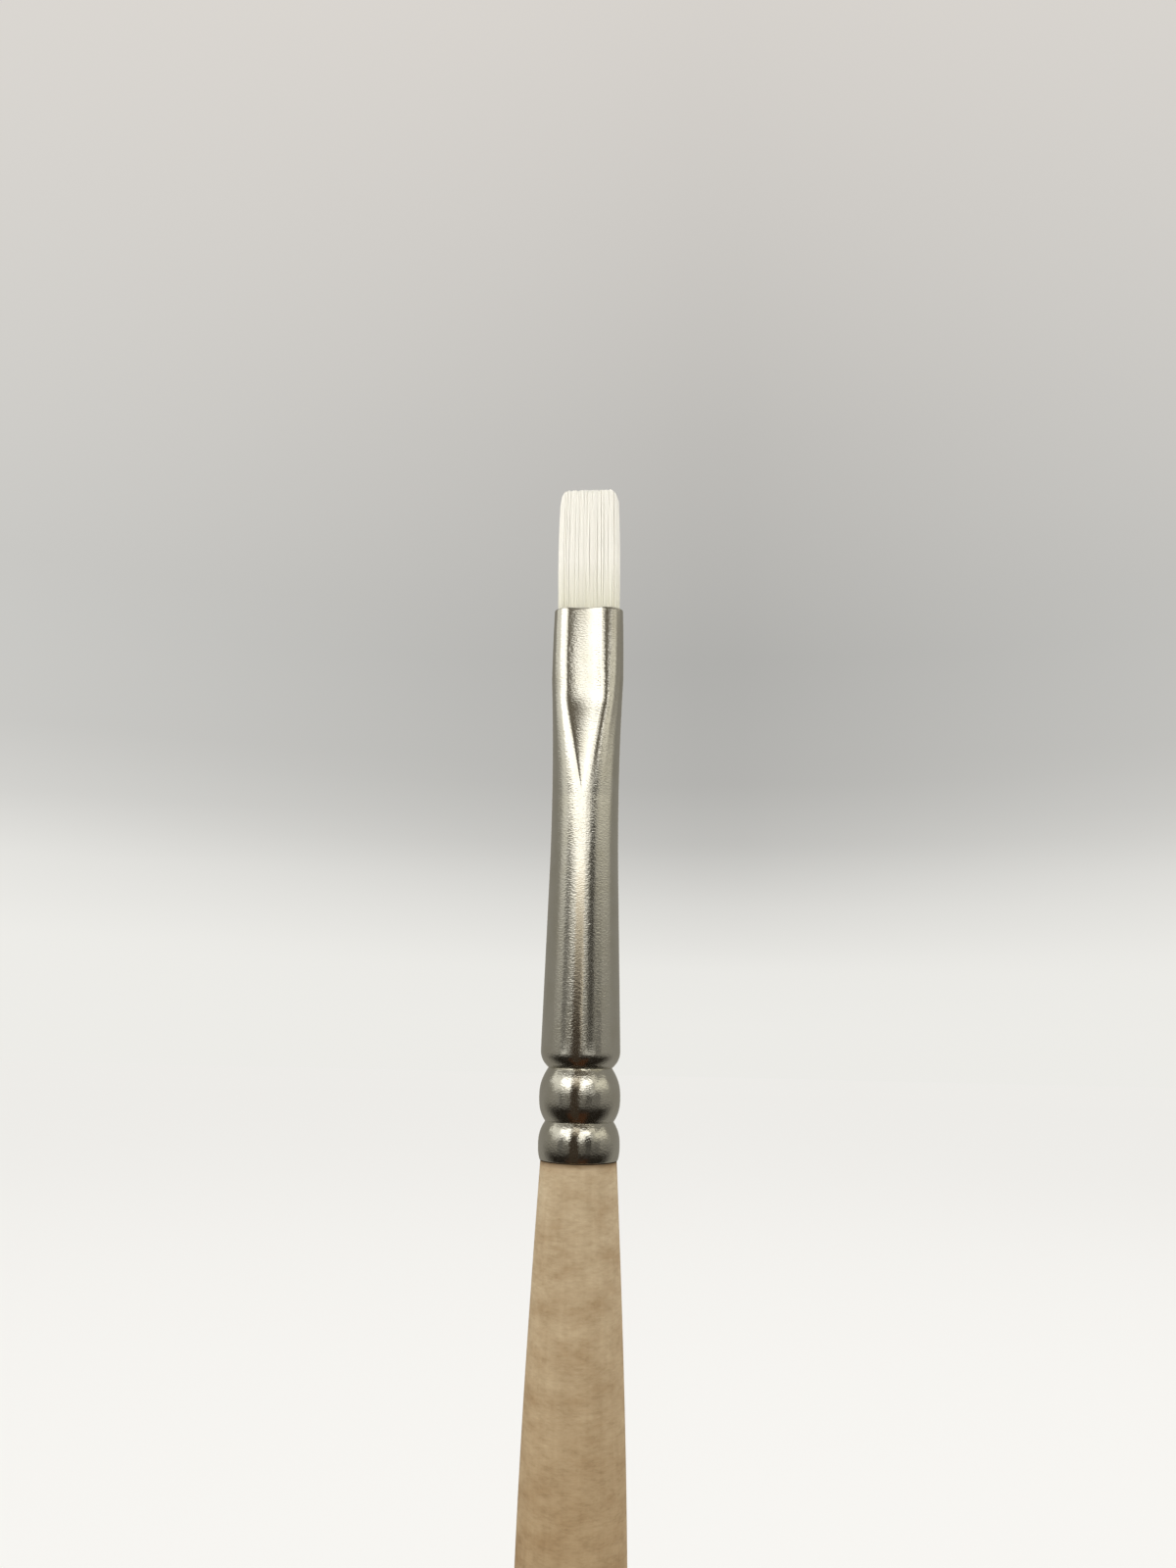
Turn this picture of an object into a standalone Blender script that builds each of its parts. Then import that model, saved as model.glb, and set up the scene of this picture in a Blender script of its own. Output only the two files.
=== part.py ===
"""A flat gel nail brush, standing on the end of its handle.

A raw turned wooden handle ends in a tenon. A nickel-plated brass ferrule is glued and crimped onto
the tenon. The ferrule starts as a round cone and is pressed flat at its mouth, with slightly dished
faces between two ridges that run together further down. A flat tuft of white nylon filaments comes
out of the mouth. Its roots are tied with thread and set in epoxy inside the ferrule.

The origin is the centre of the flat at the end of the handle. +Z runs along the brush to the tips
of the filaments, X across the wide way of the tuft, and the flat faces look along -Y and +Y.
"""

import math
import random

import bmesh
import bpy
from mathutils import Vector
from mathutils.geometry import delaunay_2d_cdt

MM = 0.001

# Handle: the turned wood that shows, from its end to the ferrule
HANDLE_LENGTH = 120.0 * MM
HANDLE_NECK_DIA = 4.74 * MM
HANDLE_BELLY_DIA = 6.7 * MM
HANDLE_BELLY_BELOW_FERRULE = 30.0 * MM
HANDLE_TAIL_DIA = 3.9 * MM
HANDLE_END_LENGTH = 1.9 * MM
HANDLE_END_FLAT_DIA = 2.0 * MM
TENON_CHAMFER = 0.5 * MM

# Ferrule: the tube, and the two crimps that leave two beads at its lower end
FERRULE_LENGTH = 35.7 * MM
FERRULE_WALL = 0.25 * MM
LOWER_BEAD_DIA = 5.09 * MM
LOWER_BEAD_LENGTH = 2.31 * MM
LOWER_CRIMP_DEPTH = 0.4 * MM
UPPER_BEAD_DIA = 5.09 * MM
UPPER_BEAD_LENGTH = 3.23 * MM
UPPER_CRIMP_DEPTH = 0.53 * MM
RIM_DRAW_IN = 0.1 * MM
SHOULDER_DIA = 5.02 * MM
SHOULDER_LENGTH = 1.1 * MM
BEAD_POWER = 2.6
BLANK_MOUTH_DIA = 3.61 * MM

# Ferrule: the pressed mouth, its widest place, the crease where the press ends, the V that the two
# ridges make below it, and the length over which the tube goes back to round
MOUTH_WIDTH = 4.66 * MM
MOUTH_THICKNESS = 1.9 * MM
MOUTH_FLAT_WIDTH = 2.55 * MM
WIDEST_WIDTH = 4.82 * MM
WIDEST_DEPTH = 4.9 * MM
CREASE_THICKNESS = 2.28 * MM
CREASE_FLAT_WIDTH = 2.44 * MM
PRESS_LENGTH = 6.6 * MM
VEE_LENGTH = 6.0 * MM
VEE_TIP_WIDTH = 0.5 * MM
FADE_LENGTH = 11.8 * MM
FADE_POWER = 2.6
DISH_DEPTH = 0.18 * MM

# Tuft: the filaments outside the ferrule
TUFT_OUT_LENGTH = 8.7 * MM
TUFT_BELLY_WIDTH = 4.16 * MM
TUFT_BELLY_THICKNESS = 1.36 * MM
TUFT_BELLY_OUT = 4.4 * MM
TUFT_TIP_WIDTH = 4.0 * MM
TUFT_TIP_THICKNESS = 0.9 * MM
TUFT_CORNER_RADIUS = 0.35 * MM
FILAMENT_DIA = 0.09 * MM
FILAMENT_TIP_DIA = 0.06 * MM
FILAMENT_GAP = 0.021 * MM
FILAMENT_LENGTH_SPREAD = 0.1 * MM
FILAMENT_TIP_WANDER = 0.01 * MM

# Roots: what is inside the ferrule under the tuft, with depths below the mouth
PACKED_DEPTH = 0.4 * MM
PACKED_LENGTH = 1.2 * MM
TIE_DEPTH = 13.5 * MM
TIE_WAIST_DIA = 2.4 * MM
ROOT_FLARE = 0.25 * MM
ROOT_END_LENGTH = 1.2 * MM
THREAD_DIA = 0.28 * MM
THREAD_PITCH = 0.72 * MM
THREAD_TURNS = 3
EPOXY_TOP_DEPTH = 10.5 * MM
EPOXY_FLOOR = 1.3 * MM
EPOXY_HOLLOW = 0.5 * MM
EPOXY_RIM = 0.25 * MM
AIR_GAP = 3.6 * MM
GLUE_THICKNESS = 0.12 * MM
GLUE_ABOVE_SHOULDER = 1.2 * MM

# The gap that every piece keeps to its neighbour, and how finely curves are cut
CLEARANCE = 0.04 * MM
FACE_STEPS = 6
SIDE_STEPS = 12
TURNED_STEPS = 32
THREAD_STEPS = 18
ROUND_FACE_ANGLE = math.radians(22)

FILAMENT_PITCH = FILAMENT_DIA + FILAMENT_GAP
LOWER_CRIMP_S = LOWER_BEAD_LENGTH
UPPER_CRIMP_S = LOWER_CRIMP_S + UPPER_BEAD_LENGTH
SHOULDER_S = UPPER_CRIMP_S + SHOULDER_LENGTH
CREASE_S = FERRULE_LENGTH - PRESS_LENGTH
VEE_S = CREASE_S - VEE_LENGTH
FADE_S = CREASE_S - FADE_LENGTH
WIDEST_S = FERRULE_LENGTH - WIDEST_DEPTH
PACKED_TOP_S = FERRULE_LENGTH - PACKED_DEPTH
PACKED_FLOOR_S = PACKED_TOP_S - PACKED_LENGTH
TIE_TOP_S = FERRULE_LENGTH - TIE_DEPTH
TIE_FLOOR_S = TIE_TOP_S - THREAD_TURNS * THREAD_PITCH - 2 * THREAD_DIA
ROOT_END_S = TIE_FLOOR_S - ROOT_END_LENGTH
EPOXY_TOP_S = FERRULE_LENGTH - EPOXY_TOP_DEPTH
EPOXY_FLOOR_S = ROOT_END_S - CLEARANCE - EPOXY_FLOOR
TENON_LENGTH = EPOXY_FLOOR_S - AIR_GAP
BORE_INSET = FERRULE_WALL + CLEARANCE


def lerp(start, end, share):
    """The value that lies this share of the way from start to end."""
    return start + (end - start) * share


def ease(share):
    """A share from 0 to 1, eased in and out."""
    share = min(1.0, max(0.0, share))
    return share * share * (3 - 2 * share)


def spread(start, end, steps):
    """Evenly spaced values from start to end, both included."""
    return [lerp(start, end, i / steps) for i in range(steps + 1)]


# The ferrule's form. Heights s are measured up from its lower rim, and an inset is measured inwards
# from its outer surface, so the bore and all that fits in it come from the same functions.


def blank_radius(s):
    """Outer radius of the round cone that the ferrule is pressed from."""
    share = (s - SHOULDER_S) / (FERRULE_LENGTH - SHOULDER_S)
    return lerp(SHOULDER_DIA, BLANK_MOUTH_DIA, share) / 2


def round_radius(s):
    """Outer radius up to where the press fades out: two beads, a shoulder and the cone."""
    upper = UPPER_BEAD_DIA / 2
    lower = LOWER_BEAD_DIA / 2
    lower_crimp = upper - LOWER_CRIMP_DEPTH
    upper_crimp = upper - UPPER_CRIMP_DEPTH
    if s < LOWER_BEAD_LENGTH / 2:
        return lower - RIM_DRAW_IN * (1 - 2 * s / LOWER_BEAD_LENGTH) ** BEAD_POWER
    if s < LOWER_CRIMP_S:
        return lerp(lower, lower_crimp, (2 * s / LOWER_BEAD_LENGTH - 1) ** BEAD_POWER)
    if s < UPPER_CRIMP_S:
        off_crest = 2 * (s - LOWER_CRIMP_S) / UPPER_BEAD_LENGTH - 1
        crimp = lower_crimp if off_crest < 0 else upper_crimp
        return lerp(upper, crimp, abs(off_crest) ** BEAD_POWER)
    if s < SHOULDER_S:
        off_shoulder = (SHOULDER_S - s) / SHOULDER_LENGTH
        return lerp(SHOULDER_DIA / 2, upper_crimp, off_shoulder**BEAD_POWER)
    return blank_radius(s)


def pressed_half_width(s):
    """Outer half width above the round stretch: spread sideways to its widest, then drawn in."""
    if s <= WIDEST_S:
        widened = WIDEST_WIDTH / 2 - blank_radius(WIDEST_S)
        return blank_radius(s) + widened * ((s - FADE_S) / (WIDEST_S - FADE_S)) ** 2
    return lerp(WIDEST_WIDTH, MOUTH_WIDTH, ((s - WIDEST_S) / WIDEST_DEPTH) ** 2) / 2


def section(s, inset):
    """Half width, half thickness, the flat's half width and the depth of its dish, at s."""
    if s <= FADE_S:
        radius = round_radius(s) - inset
        return radius, radius, 0.0, 0.0
    half_width = pressed_half_width(s) - inset
    if s <= CREASE_S:
        pressed = blank_radius(CREASE_S) - CREASE_THICKNESS / 2
        half_thickness = blank_radius(s) - pressed * ((s - FADE_S) / FADE_LENGTH) ** FADE_POWER
        vee = max(0.0, (s - VEE_S) / VEE_LENGTH)
        return half_width, half_thickness - inset, CREASE_FLAT_WIDTH / 2 * vee, DISH_DEPTH * vee
    share = (s - CREASE_S) / PRESS_LENGTH
    half_thickness = lerp(CREASE_THICKNESS, MOUTH_THICKNESS, share) / 2
    half_flat = lerp(CREASE_FLAT_WIDTH, MOUTH_FLAT_WIDTH, share) / 2
    return half_width, half_thickness - inset, half_flat, DISH_DEPTH


def face_reach(s, half_width, flat):
    """Half the width of what is cut as a face: up to the ridges or, on round stretches, an angle."""
    round_reach = half_width * math.sin(ROUND_FACE_ANGLE)
    if s <= FADE_S:
        return round_reach
    if s <= VEE_S:
        return lerp(round_reach, VEE_TIP_WIDTH / 2, (s - FADE_S) / (VEE_S - FADE_S))
    return max(flat, VEE_TIP_WIDTH / 2)


def outline(s, inset):
    """The section at s as a ring of points: two dished faces, and two oval sides between them."""
    half_width, half_thickness, flat, dish = section(s, inset)
    reach = face_reach(s, half_width, flat)
    side_width = half_width - flat
    half_ring = []
    for i in range(FACE_STEPS):
        x = lerp(reach, -reach, i / FACE_STEPS)
        if abs(x) < flat:
            y = half_thickness - dish * (1 - (x / flat) ** 2)
        else:
            y = half_thickness * math.sqrt(1 - ((abs(x) - flat) / side_width) ** 2)
        half_ring.append(Vector((x, y)))
    first = math.asin((reach - flat) / side_width)
    for i in range(SIDE_STEPS):
        angle = lerp(first, math.pi - first, i / SIDE_STEPS)
        x = flat + side_width * math.sin(angle)
        half_ring.append(Vector((-x, half_thickness * math.cos(angle))))
    ring = half_ring + [-p for p in half_ring]
    return [Vector((p.x, p.y, HANDLE_LENGTH + s)) for p in ring]


def crimp_heights():
    """Heights that follow the beads and the shoulder, with a point at each crest and crimp."""
    heights = spread(0, LOWER_CRIMP_S, 6)
    heights += spread(LOWER_CRIMP_S, UPPER_CRIMP_S, 8)[1:]
    heights += spread(UPPER_CRIMP_S, SHOULDER_S, 4)[1:]
    return heights


# Building


def paint(obj, name, colour, roughness, metallic=0.0):
    """Gives the object its own Principled material."""
    material = bpy.data.materials.new(name)
    material.use_nodes = True
    shader = material.node_tree.nodes["Principled BSDF"]
    shader.inputs["Base Color"].default_value = (*colour, 1.0)
    shader.inputs["Roughness"].default_value = roughness
    shader.inputs["Metallic"].default_value = metallic
    material.diffuse_color = (*colour, 1.0)
    obj.data.materials.append(material)


def finish(name, bm, parent, sharp_degrees=30):
    """Turns a bmesh into a named object with outward faces and smooth shading on its curves."""
    bmesh.ops.recalc_face_normals(bm, faces=bm.faces)
    mesh = bpy.data.meshes.new(name)
    bm.to_mesh(mesh)
    bm.free()
    mesh.shade_smooth()
    mesh.set_sharp_from_angle(angle=math.radians(sharp_degrees))
    obj = bpy.data.objects.new(name, mesh)
    bpy.context.scene.collection.objects.link(obj)
    obj.parent = parent
    return obj


def skin(rings, closed=False):
    """Joins rings of points into a skin: capped at both ends or, if closed, from last to first."""
    bm = bmesh.new()
    loops = [[bm.verts.new(p) for p in ring] for ring in rings]
    count = len(rings[0])
    pairs = list(zip(loops, loops[1:]))
    if closed:
        pairs.append((loops[-1], loops[0]))
    for low, high in pairs:
        for i in range(count):
            j = (i + 1) % count
            bm.faces.new((low[i], low[j], high[j], high[i]))
    if not closed:
        bm.faces.new(reversed(loops[0]))
        bm.faces.new(loops[-1])
    return bm


def turned(profile):
    """Spins a profile of (radius, height) points round the brush's axis, as on a lathe."""
    bm = bmesh.new()
    verts = [bm.verts.new((radius, 0, height)) for radius, height in profile]
    edges = [bm.edges.new(pair) for pair in zip(verts, verts[1:])]
    bmesh.ops.spin(
        bm,
        geom=verts + edges,
        cent=(0, 0, 0),
        axis=(0, 0, 1),
        angle=math.tau,
        steps=TURNED_STEPS,
        use_merge=True,
    )
    bmesh.ops.remove_doubles(bm, verts=bm.verts, dist=1e-7)
    return bm


# The turned handle


def handle_radius(below):
    """Radius of the wood this far below the ferrule: a quarter wave to the belly, then the tail."""
    neck = HANDLE_NECK_DIA / 2
    belly = HANDLE_BELLY_DIA / 2
    tail = HANDLE_TAIL_DIA / 2
    if below < HANDLE_BELLY_BELOW_FERRULE:
        return lerp(neck, belly, math.sin(math.pi / 2 * below / HANDLE_BELLY_BELOW_FERRULE))
    tail_run = HANDLE_LENGTH - HANDLE_END_LENGTH - HANDLE_BELLY_BELOW_FERRULE
    share = (below - HANDLE_BELLY_BELOW_FERRULE) / tail_run
    return lerp(tail, belly, math.cos(math.pi / 2 * share) ** 2)


def tenon_radius(s):
    """The tenon fills the crimped bore, and above it leaves room for the glue."""
    glue_room = GLUE_THICKNESS + CLEARANCE if s >= SHOULDER_S + GLUE_ABOVE_SHOULDER else 0
    return round_radius(s) - BORE_INSET - glue_room


def make_handle(parent):
    """The wooden handle, from the flat at its end to the chamfered top of its tenon."""
    end_flat = HANDLE_END_FLAT_DIA / 2
    tail = HANDLE_TAIL_DIA / 2
    profile = [(0, 0)]
    for angle in spread(0, math.pi / 2, 5):
        radius = lerp(end_flat, tail, math.sin(angle))
        profile.append((radius, HANDLE_END_LENGTH * (1 - math.cos(angle))))
    for below in spread(HANDLE_LENGTH - HANDLE_END_LENGTH, HANDLE_BELLY_BELOW_FERRULE, 12)[1:]:
        profile.append((handle_radius(below), HANDLE_LENGTH - below))
    for below in spread(HANDLE_BELLY_BELOW_FERRULE, CLEARANCE, 9)[1:]:
        profile.append((handle_radius(below), HANDLE_LENGTH - below))

    profile.append((tenon_radius(0), HANDLE_LENGTH - CLEARANCE))
    for s in crimp_heights():
        profile.append((tenon_radius(s), HANDLE_LENGTH + s))
    step = SHOULDER_S + GLUE_ABOVE_SHOULDER
    profile.append((round_radius(step) - BORE_INSET, HANDLE_LENGTH + step))
    profile.append((tenon_radius(step), HANDLE_LENGTH + step))
    chamfer_s = TENON_LENGTH - TENON_CHAMFER
    profile.append((tenon_radius(chamfer_s), HANDLE_LENGTH + chamfer_s))
    profile.append((tenon_radius(TENON_LENGTH) - TENON_CHAMFER, HANDLE_LENGTH + TENON_LENGTH))
    profile.append((0, HANDLE_LENGTH + TENON_LENGTH))

    handle = finish("handle", turned(profile), parent, sharp_degrees=40)
    paint(handle, "raw_wood", (0.52, 0.41, 0.28), 0.75)
    return handle


def make_tenon_glue(parent):
    """The sleeve of glue between the tenon and the ferrule, above the crimps."""
    floor_s = SHOULDER_S + GLUE_ABOVE_SHOULDER + CLEARANCE
    top_s = TENON_LENGTH - TENON_CHAMFER
    bm = turned(
        [
            (tenon_radius(floor_s) + CLEARANCE, HANDLE_LENGTH + floor_s),
            (round_radius(floor_s) - BORE_INSET, HANDLE_LENGTH + floor_s),
            (round_radius(top_s) - BORE_INSET, HANDLE_LENGTH + top_s),
            (tenon_radius(top_s) + CLEARANCE, HANDLE_LENGTH + top_s),
            (tenon_radius(floor_s) + CLEARANCE, HANDLE_LENGTH + floor_s),
        ]
    )
    glue = finish("tenon_glue", bm, parent)
    paint(glue, "dried_glue", (0.78, 0.68, 0.46), 0.45)
    return glue


# The pressed and crimped ferrule


def make_ferrule(parent):
    """The ferrule's shell: up the outside, over the mouth and down the bore."""
    heights = crimp_heights()
    heights += spread(FADE_S, VEE_S, 4)
    heights += spread(VEE_S, CREASE_S, 6)[1:]
    heights += spread(CREASE_S, FERRULE_LENGTH, 4)[1:]
    rings = [outline(s, 0) for s in heights]
    rings += [outline(s, FERRULE_WALL) for s in reversed(heights)]
    ferrule = finish("ferrule", skin(rings, closed=True), parent)
    paint(ferrule, "nickel_plate", (0.62, 0.60, 0.55), 0.28, metallic=1.0)
    return ferrule


# The filaments and their roots


def inside(point, ring):
    """True if the point lies inside the ring, seen along the brush."""
    crossings = 0
    for a, b in zip(ring, ring[1:] + ring[:1]):
        if (a.y > point.y) != (b.y > point.y):
            across = a.x + (point.y - a.y) * (b.x - a.x) / (b.y - a.y)
            crossings += across > point.x
    return crossings % 2 == 1


def filament_roots():
    """Centres on a hexagonal grid that fills the mouth, where the filaments leave their block."""
    ring = outline(FERRULE_LENGTH, BORE_INSET + FILAMENT_DIA / 2 + FILAMENT_GAP)
    row_step = FILAMENT_PITCH * math.sqrt(3) / 2
    rows = int(MOUTH_THICKNESS / 2 / row_step)
    columns = int(MOUTH_WIDTH / 2 / FILAMENT_PITCH)
    roots = []
    for row in range(-rows, rows + 1):
        for column in range(-columns, columns + 1):
            shift = 0.5 if row % 2 else 0.0
            root = Vector(((column + shift) * FILAMENT_PITCH, row * row_step))
            if inside(root, ring):
                roots.append(root)
    return roots


def triangle_round(centre, radius, height):
    """Three points round a centre, one cross section of a filament."""
    angles = [math.pi / 2 + i * math.tau / 3 for i in range(3)]
    return [
        Vector((centre.x + radius * math.cos(a), centre.y + radius * math.sin(a), height))
        for a in angles
    ]


def tip_height(across, half):
    """Height of the tuft's end at this distance from its middle: straight, with round corners."""
    into_corner = max(0.0, abs(across) - (half - TUFT_CORNER_RADIUS))
    into_corner = min(into_corner, TUFT_CORNER_RADIUS)
    drop = TUFT_CORNER_RADIUS - math.sqrt(TUFT_CORNER_RADIUS**2 - into_corner**2)
    return HANDLE_LENGTH + FERRULE_LENGTH + TUFT_OUT_LENGTH - drop


def filament_rings(root, chance):
    """The three cross sections of one filament: where it parts, at the belly and at its tip."""
    half_width, half_thickness, _, _ = section(FERRULE_LENGTH, BORE_INSET)
    across = root.x / half_width
    deep = root.y / half_thickness
    belly = Vector((across * TUFT_BELLY_WIDTH / 2, deep * TUFT_BELLY_THICKNESS / 2))
    tip = Vector((across * TUFT_TIP_WIDTH / 2, deep * TUFT_TIP_THICKNESS / 2))
    tip.x += chance.uniform(-1, 1) * FILAMENT_TIP_WANDER
    tip.y += chance.uniform(-1, 1) * FILAMENT_TIP_WANDER
    tip_z = tip_height(tip.x, TUFT_TIP_WIDTH / 2)
    tip_z -= chance.random() * FILAMENT_LENGTH_SPREAD
    thick = FILAMENT_DIA / 2
    thin = FILAMENT_TIP_DIA / 2
    return [
        triangle_round(root, thick, HANDLE_LENGTH + PACKED_TOP_S),
        triangle_round(belly, thick, HANDLE_LENGTH + FERRULE_LENGTH + TUFT_BELLY_OUT),
        triangle_round(tip, thin, tip_z),
    ]


def make_filaments(parent):
    """The tuft: each filament rises out of one thin block, where they are packed in the mouth."""
    chance = random.Random(4)
    filaments = [filament_rings(root, chance) for root in filament_roots()]
    border = outline(PACKED_TOP_S, BORE_INSET)
    border_floor = outline(PACKED_FLOOR_S, BORE_INSET)
    count = len(border)

    flat = [p.to_2d() for p in border]
    edges = [(i, (i + 1) % count) for i in range(count)]
    for rings in filaments:
        first = len(flat)
        flat += [p.to_2d() for p in rings[0]]
        edges += [(first, first + 1), (first + 1, first + 2), (first + 2, first)]
    faces = delaunay_2d_cdt(flat, edges, [], 1, 1e-9)[2]

    bm = bmesh.new()
    top = [bm.verts.new((p.x, p.y, HANDLE_LENGTH + PACKED_TOP_S)) for p in flat]
    for corners in faces:
        owners = {(i - count) // 3 if i >= count else -1 for i in corners}
        if len(owners) > 1 or -1 in owners:
            bm.faces.new([top[i] for i in corners])
    floor = [bm.verts.new(p) for p in border_floor]
    for i in range(count):
        j = (i + 1) % count
        bm.faces.new((floor[i], floor[j], top[j], top[i]))
    bm.faces.new(reversed(floor))

    for number, rings in enumerate(filaments):
        first = count + 3 * number
        low = top[first : first + 3]
        for ring in rings[1:]:
            high = [bm.verts.new(p) for p in ring]
            for i in range(3):
                j = (i + 1) % 3
                bm.faces.new((low[i], low[j], high[j], high[i]))
            low = high
        bm.faces.new(low)
    print(len(filaments), "filaments")

    tuft = finish("filament_tuft", bm, parent, sharp_degrees=50)
    paint(tuft, "white_nylon", (0.92, 0.91, 0.86), 0.4)
    return tuft


def round_ring(s, radius):
    """A round section at s with as many points as the ferrule's outline has."""
    ring = []
    for p in outline(s, BORE_INSET):
        out = p.to_2d().normalized() * radius
        ring.append(Vector((out.x, out.y, p.z)))
    return ring


def root_ring(s, gap):
    """The bundle of roots at s, this gap larger all round: full in the mouth, round at the tie."""
    radius = TIE_WAIST_DIA / 2 + gap
    if s <= TIE_TOP_S:
        flare = ease((TIE_FLOOR_S - s) / ROOT_END_LENGTH)
        return round_ring(s, radius + ROOT_FLARE * flare)
    waist = ease((CREASE_S - s) / (CREASE_S - TIE_TOP_S))
    full = outline(s, BORE_INSET - gap)
    return [p.lerp(q, waist) for p, q in zip(full, round_ring(s, radius))]


def make_root_bundle(parent):
    """The bonded roots of the filaments: packed flat at the top, drawn in to a waist for the tie."""
    heights = spread(ROOT_END_S, TIE_FLOOR_S, 3)
    heights += spread(TIE_TOP_S, CREASE_S, 5)
    heights.append(PACKED_FLOOR_S - CLEARANCE)
    bundle = finish("root_bundle", skin([root_ring(s, 0) for s in heights]), parent)
    paint(bundle, "bonded_roots", (0.85, 0.82, 0.70), 0.5)
    return bundle


def thread_path():
    """Points along the tie: one strand that winds round the waist of the roots."""
    radius = TIE_WAIST_DIA / 2 + CLEARANCE + THREAD_DIA / 2
    start_z = HANDLE_LENGTH + TIE_FLOOR_S + THREAD_DIA
    points = []
    for step in range(THREAD_TURNS * THREAD_STEPS + 1):
        turn = step / THREAD_STEPS
        angle = turn * math.tau
        height = start_z + turn * THREAD_PITCH
        points.append(Vector((radius * math.cos(angle), radius * math.sin(angle), height)))
    return points


def make_binding_thread(parent):
    """The waxed thread that ties the roots, as one unbroken strand."""
    points = thread_path()
    curve = bpy.data.curves.new("binding_thread", "CURVE")
    curve.dimensions = "3D"
    curve.bevel_depth = THREAD_DIA / 2
    curve.bevel_resolution = 1
    curve.use_fill_caps = True
    spline = curve.splines.new("POLY")
    spline.points.add(len(points) - 1)
    for place, point in zip(spline.points, points):
        place.co = (*point, 1.0)
    thread = bpy.data.objects.new("binding_thread", curve)
    bpy.context.scene.collection.objects.link(thread)
    thread.parent = parent
    paint(thread, "waxed_thread", (0.55, 0.42, 0.25), 0.7)

    later = THREAD_STEPS // 2
    nearest = min((a - b).length for i, a in enumerate(points) for b in points[i + later :])
    print(f"least gap from one turn of the thread to the next: {(nearest - THREAD_DIA) / MM:.2f} mm")
    return thread


def make_root_epoxy(parent):
    """The cup of epoxy that holds the tied roots in the ferrule, hollowed below as it set."""
    over_thread = TIE_WAIST_DIA / 2 + CLEARANCE + THREAD_DIA + CLEARANCE
    rings = [outline(s, BORE_INSET) for s in spread(EPOXY_FLOOR_S, EPOXY_TOP_S, 6)]
    rings += [root_ring(s, CLEARANCE) for s in spread(EPOXY_TOP_S, TIE_TOP_S, 2)]
    rings += [round_ring(s, over_thread) for s in (TIE_TOP_S, TIE_FLOOR_S)]
    rings += [root_ring(s, CLEARANCE) for s in spread(TIE_FLOOR_S, ROOT_END_S, 2)]
    socket_floor = [p - Vector((0, 0, CLEARANCE)) for p in rings[-1]]
    bm = skin(rings + [socket_floor])

    bm.faces.ensure_lookup_table()
    under = min(bm.faces, key=lambda face: face.calc_center_median().z)
    bmesh.ops.inset_region(bm, faces=[under], thickness=EPOXY_RIM)
    bmesh.ops.inset_region(bm, faces=[under], thickness=EPOXY_HOLLOW)
    for vert in under.verts:
        vert.co.z += EPOXY_HOLLOW

    epoxy = finish("root_epoxy", bm, parent)
    paint(epoxy, "set_epoxy", (0.80, 0.62, 0.30), 0.2)
    return epoxy


def main():
    for obj in list(bpy.data.objects):
        bpy.data.objects.remove(obj)
    brush = bpy.data.objects.new("gel_nail_brush", None)
    bpy.context.scene.collection.objects.link(brush)
    make_handle(brush)
    make_tenon_glue(brush)
    make_ferrule(brush)
    make_filaments(brush)
    make_root_bundle(brush)
    make_binding_thread(brush)
    make_root_epoxy(brush)


main()
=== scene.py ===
import math
import random

import bpy
from mathutils import Matrix, Vector


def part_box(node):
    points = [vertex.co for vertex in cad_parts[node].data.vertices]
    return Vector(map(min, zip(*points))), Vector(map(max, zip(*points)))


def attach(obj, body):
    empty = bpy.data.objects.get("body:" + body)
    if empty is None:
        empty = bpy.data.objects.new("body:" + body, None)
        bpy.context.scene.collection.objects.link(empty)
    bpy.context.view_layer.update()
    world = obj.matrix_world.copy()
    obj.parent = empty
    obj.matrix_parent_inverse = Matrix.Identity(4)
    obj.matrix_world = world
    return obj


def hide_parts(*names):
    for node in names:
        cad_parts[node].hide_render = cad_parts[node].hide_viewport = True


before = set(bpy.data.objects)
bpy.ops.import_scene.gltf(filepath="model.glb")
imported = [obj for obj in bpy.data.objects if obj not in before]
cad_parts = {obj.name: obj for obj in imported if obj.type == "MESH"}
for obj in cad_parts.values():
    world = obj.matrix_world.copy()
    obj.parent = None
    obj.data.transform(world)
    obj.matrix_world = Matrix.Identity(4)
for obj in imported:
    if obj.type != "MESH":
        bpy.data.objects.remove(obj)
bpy.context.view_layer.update()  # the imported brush: handle down, bristles up, flat faces along Y
bpy.ops.object.select_all(action="DESELECT")
print("frame loaded:", ", ".join(sorted(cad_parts)))

mm = 0.001
sameHeight = 1e-6  # metres; two heights closer than this count as one
ferruleLow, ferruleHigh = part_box("ferrule")
rimZ = ferruleLow.z  # lower rim of the ferrule, where the bare wood starts
mouthZ = ferruleHigh.z


def mix(a, b, t):
    return a + (b - a) * t


def stepsBetween(a, b, count):
    return [mix(a, b, i / count) for i in range(count + 1)]


def startCircle(name, sides, radius, z, fill="NOTHING"):
    # every turned piece starts from a circle and is left in edit mode for extruding
    bpy.ops.mesh.primitive_circle_add(vertices=sides, radius=radius, fill_type=fill, location=(0, 0, z))
    piece = bpy.context.object
    piece.name = piece.data.name = name
    bpy.ops.object.transform_apply(location=True, rotation=True, scale=True)
    bpy.ops.object.mode_set(mode="EDIT")
    bpy.ops.mesh.select_all(action="SELECT")
    return piece


def extrudeAlong(profile):
    # profile is a list of (radius, z); the selected ring climbs it one step at a time
    radius, z = profile[0]
    for nextRadius, nextZ in profile[1:]:
        bpy.ops.mesh.extrude_region_move(TRANSFORM_OT_translate={"value": (0, 0, nextZ - z)})
        grow = nextRadius / radius
        bpy.ops.transform.resize(value=(grow, grow, 1))
        radius, z = nextRadius, nextZ


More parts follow.
